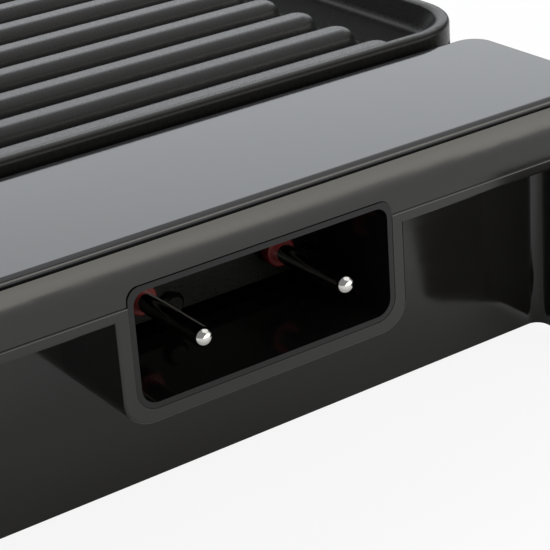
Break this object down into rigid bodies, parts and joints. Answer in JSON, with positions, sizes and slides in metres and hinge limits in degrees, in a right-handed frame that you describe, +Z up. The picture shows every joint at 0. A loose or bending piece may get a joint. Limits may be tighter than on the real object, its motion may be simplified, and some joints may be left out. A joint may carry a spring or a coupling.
{
  "type": "electric grill",
  "caption": "Table-top electric grill: ribbed lift-off plate between dark moulded ends, a recessed cord inlet with round contact pins, and a drip tray that slides out at the side.",
  "frame": {"origin": "on the table, under the middle of the grill", "axes": "+X across the grill, the way the drip tray pulls out; +Y along it, away from the cord inlet; +Z up"},
  "size_m": [0.247, 0.4779, 0.0892],
  "materials": {
    "gloss_black": "polished moulding",
    "panel_black": "mirror-polished moulding",
    "liner_black": "smooth heat-proof moulding",
    "cover_black": "fine-grained moulding",
    "foot_rubber": "soft rubber",
    "nickel": "nickel-plated contact",
    "seal_red": "silicone",
    "zinc": "zinc-plated steel",
    "dark_steel": "blackened steel",
    "pan_steel": "bright sheet steel",
    "sheath": "heat-darkened steel tube",
    "non_stick": "dark non-stick coating on a casting",
    "tray_sheet": "pressed sheet"
  },
  "bodies": {
    "base": {"socket_end_frame": "gloss_black", "far_end_frame": "gloss_black", "socket_end_base": "gloss_black", "far_end_base": "gloss_black", "socket_top_panel": "panel_black", "far_top_panel": "panel_black", "socket_liner": "liner_black", "socket_bottom_cover": "cover_black", "far_bottom_cover": "cover_black", "socket_left_foot": "foot_rubber", "socket_right_foot": "foot_rubber", "far_left_foot": "foot_rubber", "far_right_foot": "foot_rubber", "terminal_pin_left": "nickel", "terminal_pin_right": "nickel", "pin_seal_left": "seal_red", "pin_seal_right": "seal_red", "bracket_screws": "zinc", "support_rivets": "zinc", "pan_screws": "zinc", "runner_screws": "zinc", "socket_fascia_screws": "zinc", "far_fascia_screws": "zinc", "socket_cover_screws": "zinc", "far_cover_screws": "zinc", "element_support_front": "zinc", "element_support_rear": "zinc", "socket_tray_runner": "zinc", "far_tray_runner": "zinc", "terminal_screws": "dark_steel", "terminal_bracket": "dark_steel", "chassis_pan": "pan_steel", "heating_element": "sheath"},
    "grill_plate": {"grill_plate": "non_stick"},
    "drip_tray": {"drip_tray": "tray_sheet", "tray_grip": "cover_black", "grip_rivets": "zinc"}
  },
  "joints": [
    {"name": "grill_plate_lift", "type": "slide", "parent": "base", "child": "grill_plate", "axis": [0, 0, 1], "range_m": [0, 0.08]},
    {"name": "drip_tray_slide", "type": "slide", "parent": "base", "child": "drip_tray", "axis": [1, 0, 0], "range_m": [0, 0.2]}
  ]
}
